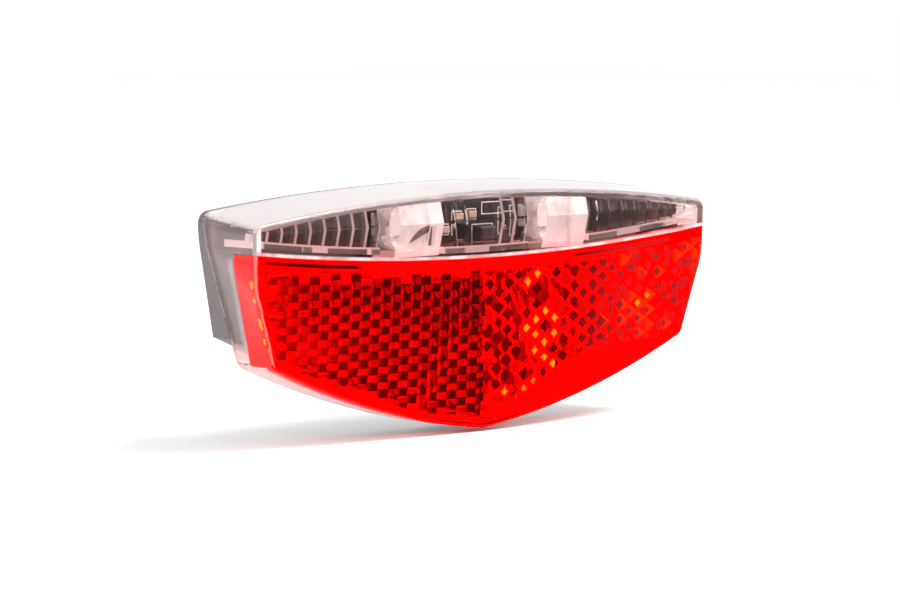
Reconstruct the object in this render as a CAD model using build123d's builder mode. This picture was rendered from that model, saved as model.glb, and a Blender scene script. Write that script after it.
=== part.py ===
from build123d import *
import os
from math import cos, radians, sin, sqrt, tan

os.makedirs("parts", exist_ok=True)

# Rear light for a bicycle carrier, in millimetres.
# +Y points back to the carrier plate, +Z up, and the origin is midway between the two studs
# on the flat rear face. The window and the reflector face -Y.

# Body outline at the front, its ends drawn in from the half width
depth = 16.0
half_width = 58.6
front_top = 18.9
front_end = 14.8
front_kink = 3.0
front_kink_draw = 0.6
foot = -11.0
front_foot_draw = 5.6
apex = -25.5
belly = 2.2

# Body outline at the rear
back_rise = 1.3
back_end_rise = 1.9
back_end_draw = 0.7
back_kink_rise = 8.5
back_kink_draw = 1.1
back_foot_draw = 5.3

# Rounding of the outline
end_radius = 2.4
kink_radius = 14.0
foot_radius = 2.6
apex_radius = 4.0
front_edge_radius = 0.7

# The front leans back below the window
lean_start = 6.5
lean_angle = 3.0

# Clear cover
cover_wall = 1.4
window_wall = 1.2
rim_setback = 3.8
rim_angle = 9.4

# Upper edge of the reflector
red_top_centre = 6.5
red_top_end = 9.9

# Red reflector
panel_wall = 2.0
side_return = 6.0
side_return_wall = 1.8
side_return_foot = 0.5
top_flange_wall = 1.2
lens_gap = 0.1

# Reflector back plate
back_plate_front = 4.8
back_plate_wall = 1.1
back_plate_gap = 0.15

# Base housing
base_wall = 1.3
back_wall = 1.5
nest_gap = 0.15
nest_depth = 2.8
low_nest_top = 10.0
base_apex_rise = 4.8
base_foot_rise = 5.0
base_foot_draw = 4.6
base_belly = 2.0

# Light guide
guide_ridge_lift = 0.4
guide_front_gap = 0.4
guide_lean = 13.5
guide_wall = 1.3
guide_step = 0.7
guide_edge_gap = 0.4
guide_pitch = 3.45
guide_first_rib = 2.85
guide_inner_pitch = 3.15
guide_inner_ribs = 2
guide_inner_first_rib = 3.1
shelf_wall = 1.3
shelf_centre = 8.2
shelf_end = 12.0
shelf_board_gap = 3.5

# Shades behind the guide's outer ribs
shade_start = 30.0
shade_end_draw = 5.2
shade_gap = 0.2
shade_wall = 0.8

# Collimators
lamp_offset = 19.0
block_width = 16.0
block_drop = 5.6
block_wall = 2.2
block_gap = 0.15
cone_mouth = 4.6
cone_waist = 3.6
cone_waist_share = 0.5
cone_end = 2.0
cone_lamp_gap = 0.5
cone_shelf_gap = 0.165
pocket_radius = 1.3
pocket_depth = 1.8

# Light-emitting diodes
led_width = 2.8
led_length = 3.5
led_height = 1.4
led_corner = 0.3
led_well_radius = 1.1
led_well_depth = 0.4

# Circuit board
board_wall = 1.0
board_back = 2.0
board_left_edge = 1.7
board_right_edge = 3.7
board_top_gap = 1.15
board_bottom = -9.0
board_corner = 0.8

# Packages on the board: width, height above the board, length up the board
bridge_size = (4.7, 2.5, 3.9)
driver_size = (4.9, 1.6, 3.9)
diode_size = (4.3, 2.1, 2.6)
resistor_size = (2.0, 0.5, 1.25)
capacitor_size = (2.0, 0.95, 1.25)
package_chamfer = 0.3
small_part_chamfer = 0.12

# Places of the packages on the board, as shares of the lamps' offset and height
bridge_shares = ((-0.71, 0.115),)
driver_shares = ((0.66, 0.077),)
diode_shares = ((0.495, 0.785), (-0.758, 0.538))
resistor_shares = (
    (-0.505, 0.969), (-0.347, 0.969), (-0.505, 0.785), (-0.168, 0.815), (0.189, 1.031), (0.189, 0.846)
)
capacitor_shares = ((-0.337, 0.769), (-0.01, 0.862), (0.326, 1.046))

# Round capacitors
storage_radius = 5.8
storage_plate_gap = 1.05
storage_rim = 0.5
storage_lift = 0.0
filter_radius = 2.5
filter_rim = 0.3
filter_base = 5.3
filter_base_wall = 0.6
filter_gap = 0.9
filter_lift = 1.2

# Terminals and their seal
tab_width = 2.8
tab_wall = 0.8
tab_reach = 7.0
tab_tip = 0.8
tab_hole_radius = 0.7
tab_hole_inset = 3.4
tab_offset = 10.5
tab_height = -5.0
tab_solder = 0.6
tab_gap = 0.1
seal_end_wall = 1.6
seal_width = 4.6
seal_flange = 0.7
seal_flange_wall = 0.4
seal_gap = 0.05

# Board screws and their posts
screw_radius = 1.0
screw_reach = 1.5
screw_head_radius = 1.9
screw_head_height = 1.3
screw_head_round = 0.4
screw_recess_radius = 0.7
screw_recess_depth = 0.6
screw_offset = 17.2
screw_height = 5.4
screw_gap = 0.1
post_radius = 2.2

# Studs
stud_spacing = 80.0
stud_radius = 2.5
stud_lead = 3.0
stud_thread_radius = 2.24
stud_reach = 15.0
stud_tip = 0.6
stud_collar_radius = 3.2
stud_collar_gap = 0.03
head_flats = 8.0
head_height = 3.5
head_gap = 0.15
head_pocket_wall = 1.2
head_pocket_height = 2.2

# Washers and nuts, as loosely fitted at rest
washer_radius = 5.0
washer_hole_radius = 2.65
washer_wall = 1.0
washer_chamfer = 0.15
nut_flats = 8.0
nut_height = 4.7
nut_hole_radius = 2.55
nut_chamfer = 0.45

# Cuts run past the faces by this much
overrun = 1.0

# Places worked out from the sizes above
front = -depth
back_top = front_top + back_rise
edge = half_width + overrun
floor = apex - overrun
ceiling = back_top + overrun
nest_inset = cover_wall + nest_gap

# The shelf curves up towards its ends, and each cone clears it
shelf_rise = shelf_end - shelf_centre
shelf_radius = (edge**2 + shelf_rise**2) / (2 * shelf_rise)
shelf_top_at_lamp = shelf_centre + shelf_radius - sqrt(shelf_radius**2 - lamp_offset**2) + shelf_wall / 2
lamp_height = shelf_top_at_lamp + cone_shelf_gap + cone_waist
block_foot = lamp_height - block_drop
guide_ridge = lamp_height + guide_ridge_lift

board_front = -(board_back + board_wall)
board_left = -(lamp_offset + board_left_edge)
board_right = lamp_offset + board_right_edge
board_top = back_top - nest_inset - base_wall - board_top_gap

guide_front = front + window_wall + guide_front_gap
guide_low = guide_front + guide_step
guide_back = guide_low + guide_wall
shelf_back = board_front - shelf_board_gap
cone_base = guide_front + block_wall
cone_height = board_front - led_height - cone_lamp_gap - cone_base
cone_waist_height = cone_waist_share * cone_height

seal_length = 2 * tab_offset + tab_width + 2 * seal_end_wall

# The round capacitors end short of the leaning back plate
plate_drop = (lean_start - storage_lift + storage_radius) * tan(radians(lean_angle))
plate_back = front + plate_drop + (back_plate_front + back_plate_wall) / cos(radians(lean_angle))
storage_height = board_front - storage_plate_gap - plate_back
filter_height = storage_height - filter_base_wall


def front_plane(y):
    """Plane at depth y that faces the viewer, with X to the right and Z up."""
    return Plane(origin=(0, y, 0), x_dir=(1, 0, 0), z_dir=(0, -1, 0))


def leaning_plane(behind):
    """Plane of the leaning lower front, moved back by this distance."""
    normal = Vector(0, -cos(radians(lean_angle)), -sin(radians(lean_angle)))
    corner = Vector(0, front, lean_start)
    return Plane(origin=corner - normal * behind, x_dir=(1, 0, 0), z_dir=normal)


def rim_plane():
    """Plane in which the cover's rear edge meets the base."""
    normal = (0, cos(radians(rim_angle)), -sin(radians(rim_angle)))
    return Plane(origin=(0, -rim_setback, 0), x_dir=(1, 0, 0), z_dir=normal)


def body_face(y, top, end, end_draw, kink, kink_draw, foot_draw, inset):
    """Outline of the whole body at depth y, taken in by the inset."""
    end_half, kink_half, foot_half = half_width - end_draw, half_width - kink_draw, half_width - foot_draw
    low_middle = (apex + foot) / 2 - belly
    with BuildSketch(front_plane(y)) as face:
        with BuildLine():
            ThreePointArc((-end_half, end), (0, top), (end_half, end))
            Polyline((end_half, end), (kink_half, kink), (foot_half, foot))
            ThreePointArc((foot_half, foot), (foot_half / 2, low_middle), (0, apex))
            ThreePointArc((0, apex), (-foot_half / 2, low_middle), (-foot_half, foot))
            Polyline((-foot_half, foot), (-kink_half, kink), (-end_half, end))
        make_face()
        fillet(face.vertices().sort_by(Axis.Y)[5:7], end_radius)
        fillet(face.vertices().sort_by(Axis.Y)[3:5], kink_radius)
        fillet(face.vertices().sort_by(Axis.Y)[1:3], foot_radius)
        fillet(face.vertices().sort_by(Axis.Y)[0], apex_radius)
        if inset:
            offset(amount=-inset)
    return face.sketch.face()


def body(inset):
    """The whole body from the front to the rear face, its outline taken in by the inset."""
    back_end, back_kink = front_end + back_end_rise, front_kink + back_kink_rise
    front_sizes = (front_top, front_end, 0, front_kink, front_kink_draw, front_foot_draw)
    back_sizes = (back_top, back_end, back_end_draw, back_kink, back_kink_draw, back_foot_draw)
    with BuildPart() as solid:
        loft(sections=[body_face(front, *front_sizes, inset), body_face(0, *back_sizes, inset)], ruled=True)
        split(bisect_by=leaning_plane(0), keep=Keep.BOTTOM)
    return solid.part


def slab(x_low, x_high, y_low, y_high, z_low, z_high):
    """A plain block between these limits."""
    with BuildPart() as solid:
        with BuildSketch(front_plane(y_high)):
            with Locations(((x_low + x_high) / 2, (z_low + z_high) / 2)):
                Rectangle(x_high - x_low, z_high - z_low)
        extrude(amount=y_high - y_low)
    return solid.part


def below_arc(centre, end, y_low, y_high):
    """Everything under an arc that spans the body, between two depths."""
    with BuildPart() as solid:
        with BuildSketch(front_plane(y_high)):
            with BuildLine():
                ThreePointArc((-edge, end), (0, centre), (edge, end))
                Polyline((edge, end), (edge, floor), (-edge, floor), (-edge, end))
            make_face()
        extrude(amount=y_high - y_low)
    return solid.part


def below_red_top(drop, y_low, y_high):
    """Everything under the reflector's upper edge, lowered by drop, between two depths."""
    return below_arc(red_top_centre - drop, red_top_end - drop, y_low, y_high)


def shelf_room(lift, y_low, y_high):
    """Everything under the middle of the guide's shelf, raised by lift, between two depths."""
    return below_arc(shelf_centre + lift, shelf_end + lift, y_low, y_high)


def below_base(lift):
    """Everything under the base's shallow V bottom, raised by lift."""
    base_apex, base_foot = apex + base_apex_rise, foot + base_foot_rise
    base_foot_half = half_width - base_foot_draw
    low_middle = (base_apex + base_foot) / 2 - base_belly
    foot_point = (base_foot_half, base_foot + lift)
    apex_point = (0, base_apex + lift)
    with BuildPart() as solid:
        with BuildSketch(front_plane(overrun)):
            with BuildLine():
                ThreePointArc(apex_point, (base_foot_half / 2, low_middle + lift), foot_point)
                Polyline(foot_point, (edge, base_foot + lift), (edge, floor), (0, floor), apex_point)
            make_face()
            mirror(about=Plane.YZ)
        extrude(amount=depth + 2 * overrun)
    return solid.part


def red_room(gap):
    """Room of the reflector in the body: its panel and, above the feet, its side returns."""
    side_low = foot + side_return_foot - gap
    with BuildPart() as rim_room:
        add(slab(-edge, edge, front - overrun, 0, floor, side_low))
        split(bisect_by=leaning_plane(panel_wall + gap), keep=Keep.BOTTOM)
    with BuildPart() as room:
        add(below_red_top(-gap, front - overrun, 0))
        split(bisect_by=leaning_plane(side_return + gap), keep=Keep.TOP)
        add(rim_room.part, mode=Mode.SUBTRACT)
    return room.part


def package(size, shares, chamfer_size):
    """Box-shaped packages on the board's front face."""
    width, height, length = size
    places = [(x_share * lamp_offset, z_share * lamp_height) for x_share, z_share in shares]
    with BuildPart() as solid:
        with BuildSketch(front_plane(board_front)):
            with Locations(*places):
                Rectangle(width, length)
        extrude(amount=height)
        chamfer(solid.faces().filter_by(Axis.Y).group_by(Axis.Y)[0].edges(), chamfer_size)
    return solid.part


def save(piece, name):
    """Label a finished piece and write its file."""
    piece.label = name
    export_step(piece, f"parts/{name}.step")


# The whole body, with its front edges rounded
with BuildPart() as whole_body:
    add(body(0))
    window_face, lower_face = whole_body.faces().sort_by(Axis.Y)[:2]
    front_rim = window_face.edges() + lower_face.edges() - window_face.edges().filter_by(Axis.X)
    fillet(front_rim - lower_face.edges().filter_by(Axis.X), front_edge_radius)

# Clear cover: a shell that is open at the rear and, below the window, at the front
with BuildPart() as cover_hollow:
    add(body(cover_wall))
    add(slab(-edge, edge, front - overrun, front + window_wall, floor, ceiling), mode=Mode.SUBTRACT)

with BuildPart() as clear_cover:
    add(whole_body.part)
    add(cover_hollow.part, mode=Mode.SUBTRACT)
    add(red_room(lens_gap), mode=Mode.SUBTRACT)
    split(bisect_by=rim_plane(), keep=Keep.BOTTOM)
save(clear_cover.part, "clear_cover")

# Red reflector: a leaning panel with a side return at each end and a flange along the top
with BuildPart() as red_hollow:
    add(body(side_return_wall))
    add(below_red_top(top_flange_wall, front, 0), mode=Mode.INTERSECT)
    split(bisect_by=leaning_plane(panel_wall), keep=Keep.BOTTOM)

with BuildPart() as red_reflector:
    add(whole_body.part)
    add(red_room(0), mode=Mode.INTERSECT)
    add(red_hollow.part, mode=Mode.SUBTRACT)
save(red_reflector.part, "red_reflector")

# Back plate, which closes the air space behind the prisms
with BuildPart() as reflector_back_plate:
    add(body(side_return_wall + back_plate_gap))
    add(below_red_top(top_flange_wall + back_plate_gap, front, 0), mode=Mode.INTERSECT)
    split(bisect_by=leaning_plane(back_plate_front), keep=Keep.BOTTOM)
    split(bisect_by=leaning_plane(back_plate_front + back_plate_wall), keep=Keep.TOP)
save(reflector_back_plate.part, "reflector_back_plate")

# Base housing: a tub whose outer skin starts at the cover's rim and whose lip nests inside it
with BuildPart() as base_skin:
    add(whole_body.part)
    split(bisect_by=rim_plane(), keep=Keep.TOP)

with BuildPart() as base_lip:
    add(body(nest_inset))
    add(slab(-edge, edge, front, -nest_depth, low_nest_top, ceiling), mode=Mode.SUBTRACT)
    split(bisect_by=leaning_plane(side_return + lens_gap), keep=Keep.BOTTOM)

with BuildPart() as base_hollow:
    add(body(nest_inset + base_wall))
    add(slab(-edge, edge, -back_wall, overrun, floor, ceiling), mode=Mode.SUBTRACT)
    add(below_base(base_wall), mode=Mode.SUBTRACT)

stud_places = ((-stud_spacing / 2, 0), (stud_spacing / 2, 0))
screw_places = ((-screw_offset, -screw_height), (screw_offset, -screw_height))
seal_hole_end = seal_width / 2 + seal_gap

with BuildPart() as base_housing:
    add(base_skin.part)
    add(base_lip.part)
    add(below_base(0), mode=Mode.SUBTRACT)
    add(base_hollow.part, mode=Mode.SUBTRACT)
    # a hexagonal pocket stops each stud's head from turning
    with BuildSketch(front_plane(-back_wall)):
        with Locations(*stud_places):
            RegularPolygon(head_flats / 2 + head_gap + head_pocket_wall, 6, major_radius=False)
    extrude(amount=head_pocket_height)
    with BuildSketch(front_plane(-back_wall)):
        with Locations(*stud_places):
            RegularPolygon(head_flats / 2 + head_gap, 6, major_radius=False)
    extrude(amount=head_height + head_gap, mode=Mode.SUBTRACT)
    # posts keep the board off the rear wall
    with BuildSketch(front_plane(-back_wall)):
        with Locations(*screw_places):
            Circle(post_radius)
    extrude(amount=board_back - back_wall)
    with BuildSketch(front_plane(-board_back)):
        with Locations(*screw_places):
            Circle(screw_radius + screw_gap)
    extrude(amount=-(screw_reach + screw_gap), mode=Mode.SUBTRACT)
    # holes for the studs' collars, and a slot for the terminals' seal
    with BuildSketch(front_plane(overrun)):
        with Locations(*stud_places):
            Circle(stud_collar_radius + stud_collar_gap)
        with Locations((0, tab_height)):
            SlotOverall(seal_length + 2 * seal_gap, 2 * seal_hole_end)
    extrude(amount=back_wall + 2 * overrun, mode=Mode.SUBTRACT)
save(base_housing.part, "base_housing")

# Light guide: a chevron wall with outward steps beside each lamp, standing on a shelf
lamp_right = lamp_offset + block_width / 2
lamp_left = lamp_offset - block_width / 2
inner_ribs = [lamp_left - guide_inner_first_rib - i * guide_inner_pitch for i in range(guide_inner_ribs)]
first_outer_rib = lamp_right + guide_first_rib
outer_room = half_width - cover_wall - guide_edge_gap - first_outer_rib
outer_ribs = [first_outer_rib + i * guide_pitch for i in range(int(outer_room / guide_pitch) + 1)]


def guide_outline():
    """Front line of the right half of the guide's wall, from the middle to the outer end."""
    points = [(0, guide_low)]
    for rib in reversed(inner_ribs):
        points += [(rib, guide_low), (rib, guide_front)]
    points += [(lamp_offset, guide_low)]
    for rib in outer_ribs:
        points += [(rib, guide_front), (rib, guide_low)]
    return points + [(edge, guide_front)]


def chevron(outline, height):
    """A wall with this plan at the ridge, leaning back above and below it."""
    lean_back, rise = sin(radians(guide_lean)), cos(radians(guide_lean))
    with BuildPart() as solid:
        for way in (rise, -rise):
            with BuildSketch(Plane.XY.offset(guide_ridge)) as plan:
                with BuildLine():
                    Polyline(*outline, close=True)
                make_face()
            extrude(plan.sketch, amount=height, dir=(0, lean_back, way))
    return solid.part


def mirrored(outline):
    """The outline's points, reflected to the left half in reverse order."""
    return [(-x, y) for x, y in reversed(outline)]


guide_plan = mirrored(guide_outline()) + guide_outline()[1:] + [(edge, guide_back), (-edge, guide_back)]
lamp_blocks = [
    slab(
        sign * lamp_offset - block_width / 2 - block_gap,
        sign * lamp_offset + block_width / 2 + block_gap,
        front,
        cone_base + cone_waist_height,
        block_foot - block_gap,
        ceiling,
    )
    for sign in (-1, 1)
]

with BuildPart() as shelf:
    add(body(nest_inset))
    add(shelf_room(shelf_wall / 2, guide_front, shelf_back), mode=Mode.INTERSECT)
    add(shelf_room(-shelf_wall / 2, front, 0), mode=Mode.SUBTRACT)

with BuildPart() as light_guide:
    add(chevron(guide_plan, ceiling - guide_ridge))
    add(body(cover_wall + guide_edge_gap), mode=Mode.INTERSECT)
    add(shelf_room(0, front, 0), mode=Mode.SUBTRACT)
    add(shelf.part)
    add(lamp_blocks, mode=Mode.SUBTRACT)
save(light_guide.part, "light_guide")

# Shades: dark plates that stand on the shelf, close behind the guide's outer ribs
shade_front = guide_back + shade_gap
shade_end = half_width - shade_end_draw
shade_plan = [
    (shade_start, shade_front),
    (shade_end, shade_front),
    (shade_end, shade_front + shade_wall),
    (shade_start, shade_front + shade_wall),
]

for side, plan in (("left", mirrored(shade_plan)), ("right", shade_plan)):
    with BuildPart() as shade:
        add(chevron(plan, ceiling - guide_ridge))
        add(body(cover_wall + guide_edge_gap), mode=Mode.INTERSECT)
        add(shelf_room(shelf_wall / 2 + shade_gap, front, 0), mode=Mode.SUBTRACT)
    save(shade.part, f"guide_shade_{side}")

# Collimators: a block with the guide's chevron front, and a cone that gathers the lamp's light
cone_profile = (
    (cone_mouth, cone_base),
    (cone_waist, cone_base + cone_waist_height),
    (cone_end, cone_base + cone_height),
)

for side, sign in (("left", -1), ("right", 1)):
    lamp = sign * lamp_offset
    block_left, block_right = lamp - block_width / 2, lamp + block_width / 2
    block_plan = [
        (block_left, guide_front),
        (block_right, guide_front),
        (block_right, guide_front + block_wall),
        (block_left, guide_front + block_wall),
    ]
    with BuildPart() as block:
        add(chevron(block_plan, ceiling - guide_ridge))
        add(slab(block_left, block_right, front, cone_base, block_foot, ceiling), mode=Mode.INTERSECT)
    with BuildPart() as collimator:
        with BuildSketch(Plane(origin=(lamp, 0, lamp_height), x_dir=(1, 0, 0), z_dir=(0, 0, 1))):
            with BuildLine():
                Polyline((0, cone_profile[2][1]), (0, cone_base - block_wall / 2))
                Polyline((0, cone_base - block_wall / 2), (cone_mouth, cone_base - block_wall / 2))
                Line((cone_mouth, cone_base - block_wall / 2), cone_profile[0])
                ThreePointArc(*cone_profile)
                Line(cone_profile[2], (0, cone_profile[2][1]))
            make_face()
        revolve(axis=Axis((lamp, 0, lamp_height), (0, 1, 0)))
        add(block.part)
        with BuildSketch(Plane(origin=(lamp, cone_base + cone_height, lamp_height), z_dir=(0, -1, 0))):
            Circle(pocket_radius)
        extrude(amount=pocket_depth, mode=Mode.SUBTRACT)
        add(body(cover_wall + guide_edge_gap), mode=Mode.INTERSECT)
    save(collimator.part, f"collimator_{side}")

# Light-emitting diodes, each a flat package with a round well in its front
for side, sign in (("left", -1), ("right", 1)):
    with BuildPart() as led:
        with BuildSketch(front_plane(board_front)):
            with Locations((sign * lamp_offset, lamp_height)):
                RectangleRounded(led_width, led_length, led_corner)
        extrude(amount=led_height)
        with BuildSketch(front_plane(board_front - led_height)):
            with Locations((sign * lamp_offset, lamp_height)):
                Circle(led_well_radius)
        extrude(amount=-led_well_depth, mode=Mode.SUBTRACT)
    save(led.part, f"led_{side}")

# Circuit board, with holes for the screws and slots for the terminals
tab_places = ((-tab_offset, tab_height), (tab_offset, tab_height))

with BuildPart() as circuit_board:
    with BuildSketch(front_plane(-board_back)):
        with Locations(((board_left + board_right) / 2, (board_top + board_bottom) / 2)):
            RectangleRounded(board_right - board_left, board_top - board_bottom, board_corner)
        with Locations(*screw_places):
            Circle(screw_radius + screw_gap, mode=Mode.SUBTRACT)
        with Locations(*tab_places):
            Rectangle(tab_width + 2 * tab_gap, tab_wall + 2 * tab_gap, mode=Mode.SUBTRACT)
    extrude(amount=board_wall)
save(circuit_board.part, "circuit_board")

# Packages soldered to the board
save(package(bridge_size, bridge_shares, package_chamfer), "bridge_rectifier")
save(package(driver_size, driver_shares, package_chamfer), "driver_chip")
save(package(diode_size, diode_shares, package_chamfer), "protection_diodes")
save(package(resistor_size, resistor_shares, small_part_chamfer), "chip_resistors")
save(package(capacitor_size, capacitor_shares, small_part_chamfer), "chip_capacitors")

# Storage capacitor: a flat round can that keeps the light on at a stop
storage_place = (0, storage_lift)

with BuildPart() as storage_capacitor:
    with BuildSketch(front_plane(board_front)):
        with Locations(storage_place):
            Circle(storage_radius)
    extrude(amount=storage_height)
    fillet(storage_capacitor.edges().sort_by(Axis.Y)[0], storage_rim)
save(storage_capacitor.part, "storage_capacitor")

# Filter capacitor: an upright can on a square foot, beside the driver chip
driver_right = driver_shares[0][0] * lamp_offset + driver_size[0] / 2
filter_place = (driver_right + filter_gap + filter_base / 2, filter_lift)

with BuildPart() as filter_capacitor:
    with BuildSketch(front_plane(board_front)):
        with Locations(filter_place):
            Rectangle(filter_base, filter_base)
    extrude(amount=filter_base_wall)
    with BuildSketch(front_plane(board_front - filter_base_wall)):
        with Locations(filter_place):
            Circle(filter_radius)
    extrude(amount=filter_height)
    fillet(filter_capacitor.edges().sort_by(Axis.Y)[0], filter_rim)
save(filter_capacitor.part, "filter_capacitor")

# Terminals: flat tabs from the board's front out through the rear face
for name, place in zip(("terminal_ground", "terminal_live"), tab_places):
    tab_foot = board_front - tab_solder
    with BuildPart() as terminal:
        with BuildSketch(front_plane(tab_reach)):
            with Locations(place):
                Rectangle(tab_width, tab_wall)
        extrude(amount=tab_reach - tab_foot)
        tip = terminal.faces().sort_by(Axis.Y)[-1]
        chamfer(tip.edges().filter_by(Axis.Z), tab_tip)
        with BuildSketch(Plane.XY.offset(place[1] - tab_wall)):
            with Locations((place[0], tab_reach - tab_hole_inset)):
                Circle(tab_hole_radius)
        extrude(amount=2 * tab_wall, mode=Mode.SUBTRACT)
    save(terminal.part, name)

# Rubber seal in the rear wall's slot, with a flange inside and a slit for each tab
with BuildPart() as terminal_seal:
    with BuildSketch(front_plane(0)):
        with Locations((0, tab_height)):
            SlotOverall(seal_length, seal_width)
    extrude(amount=back_wall)
    with BuildSketch(front_plane(-back_wall)):
        with Locations((0, tab_height)):
            SlotOverall(seal_length + 2 * seal_flange, seal_width + 2 * seal_flange)
    extrude(amount=seal_flange_wall)
    with BuildSketch(front_plane(overrun)):
        with Locations(*tab_places):
            Rectangle(tab_width, tab_wall)
    extrude(amount=back_wall + seal_flange_wall + 2 * overrun, mode=Mode.SUBTRACT)
save(terminal_seal.part, "terminal_seal")

# Two screws that hold the board to its posts
with BuildPart() as board_screws:
    with BuildSketch(front_plane(-(board_back - screw_reach))):
        with Locations(*screw_places):
            Circle(screw_radius)
    extrude(amount=screw_reach + board_wall)
    with BuildSketch(front_plane(board_front)):
        with Locations(*screw_places):
            Circle(screw_head_radius)
    extrude(amount=screw_head_height)
    heads = board_screws.faces().filter_by(Axis.Y).group_by(Axis.Y)[0]
    fillet(heads.edges(), screw_head_round)
    with BuildSketch(front_plane(board_front - screw_head_height)):
        with Locations(*screw_places):
            RegularPolygon(screw_recess_radius, 6)
    extrude(amount=-screw_recess_depth, mode=Mode.SUBTRACT)
save(board_screws.part, "board_screws")

# Studs: a hexagon head inside, a collar in the rear wall, a plain lead and a thread
washer_front = stud_lead
nut_front = washer_front + washer_wall

for side, place in zip(("left", "right"), stud_places):
    with BuildPart() as stud:
        with BuildSketch(front_plane(-back_wall)):
            with Locations(place):
                RegularPolygon(head_flats / 2, 6, major_radius=False)
        extrude(amount=head_height)
        with BuildSketch(front_plane(0)):
            with Locations(place):
                Circle(stud_collar_radius)
        extrude(amount=back_wall)
        with BuildSketch(front_plane(stud_lead)):
            with Locations(place):
                Circle(stud_radius)
        extrude(amount=stud_lead)
        with BuildSketch(front_plane(stud_reach)):
            with Locations(place):
                Circle(stud_thread_radius)
        extrude(amount=stud_reach - stud_lead)
        chamfer(stud.edges().sort_by(Axis.Y)[-1], stud_tip)
    save(stud.part, f"stud_{side}")

    with BuildPart() as washer:
        with BuildSketch(front_plane(washer_front + washer_wall)):
            with Locations(place):
                Circle(washer_radius)
                Circle(washer_hole_radius, mode=Mode.SUBTRACT)
        extrude(amount=washer_wall)
        rims = washer.edges().filter_by(GeomType.CIRCLE).filter_by(lambda rim: rim.radius == washer_radius)
        chamfer(rims, washer_chamfer)
    save(washer.part, f"washer_{side}")

    with BuildPart() as nut:
        with BuildSketch(front_plane(nut_front + nut_height)):
            with Locations(place):
                RegularPolygon(nut_flats / 2, 6, major_radius=False)
        extrude(amount=nut_height)
        with BuildSketch(front_plane(nut_front)):
            with Locations(place):
                Circle(nut_hole_radius)
        extrude(amount=-nut_height, mode=Mode.SUBTRACT)
        holes = nut.edges().filter_by(GeomType.CIRCLE)
        chamfer(holes, nut_chamfer)
    save(nut.part, f"nut_{side}")
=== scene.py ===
"""Visual model of a bicycle rear light: its materials, the reflector's prisms, stage and camera."""
from math import cos, pi, radians, sin, sqrt

import bmesh
import bpy
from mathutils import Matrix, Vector


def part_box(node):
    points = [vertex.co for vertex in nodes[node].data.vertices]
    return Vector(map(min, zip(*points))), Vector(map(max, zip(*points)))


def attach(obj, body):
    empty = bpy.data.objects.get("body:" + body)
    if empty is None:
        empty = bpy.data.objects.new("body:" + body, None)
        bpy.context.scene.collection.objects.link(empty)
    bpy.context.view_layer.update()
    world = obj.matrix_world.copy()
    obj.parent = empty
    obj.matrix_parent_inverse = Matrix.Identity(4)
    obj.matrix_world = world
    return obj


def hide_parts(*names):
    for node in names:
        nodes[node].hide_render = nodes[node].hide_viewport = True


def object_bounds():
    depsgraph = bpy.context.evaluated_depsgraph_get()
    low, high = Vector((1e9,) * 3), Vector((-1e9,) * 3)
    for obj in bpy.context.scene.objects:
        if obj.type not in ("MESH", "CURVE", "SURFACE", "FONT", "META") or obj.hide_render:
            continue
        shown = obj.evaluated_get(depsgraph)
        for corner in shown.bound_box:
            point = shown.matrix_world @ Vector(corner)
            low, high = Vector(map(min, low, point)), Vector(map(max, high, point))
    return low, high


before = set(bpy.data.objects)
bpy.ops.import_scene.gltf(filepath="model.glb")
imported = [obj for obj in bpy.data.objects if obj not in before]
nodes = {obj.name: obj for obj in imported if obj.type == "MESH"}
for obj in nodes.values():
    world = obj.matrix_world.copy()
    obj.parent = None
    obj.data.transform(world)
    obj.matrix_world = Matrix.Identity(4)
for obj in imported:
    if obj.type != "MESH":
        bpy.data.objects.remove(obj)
cad_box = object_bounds()
mm = 0.001

# Places and sizes of the frame that the looks follow
red_low, red_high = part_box("red_reflector")
cover_low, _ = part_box("clear_cover")
front = cover_low.y
lean_start = 6.5 * mm
lean_angle = radians(3.0)
panel_wall = 2.0 * mm
plate_front = 4.8 * mm
plate_wall = 1.1 * mm

# Camera
camera_azimuth = radians(-44.0)
camera_elevation = radians(4.816)
camera_distance = 0.8
camera_target = Vector((-10.13, -15.62, -0.837)) * mm
camera_lens = 173.9
sensor_width = 36.0

# Stage: floor, light of the world, and each lamp's place, size and power
floor_drop = 0.6 * mm
floor_half = 1.6
floor_colour = (0.96, 0.96, 0.96)
world_light = 1.0
lamps = (("key", (0.35, -0.45, 0.75), 0.4, 9.0), ("fill", (-0.7, -0.5, 0.35), 0.6, 1.5))

# Dark cards that only reflections see: place, width and height, and the way they face or turn
upright_card = ((0.27, -0.30, 0.08), 0.5, 0.3, (-0.69, 0.72, 0.0))
flat_card = ((0.14, -0.155, cad_box[0][2] - 0.5 * floor_drop), 0.42, 0.2, (0.0, 0.0, 1.0))
flat_card_turn = radians(-46.0)

# The plastics' index of refraction, and the tint of the shine on red
plastic_index = 1.49
red_shine = (1.0, 0.03, 0.03, 1.0)


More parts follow.
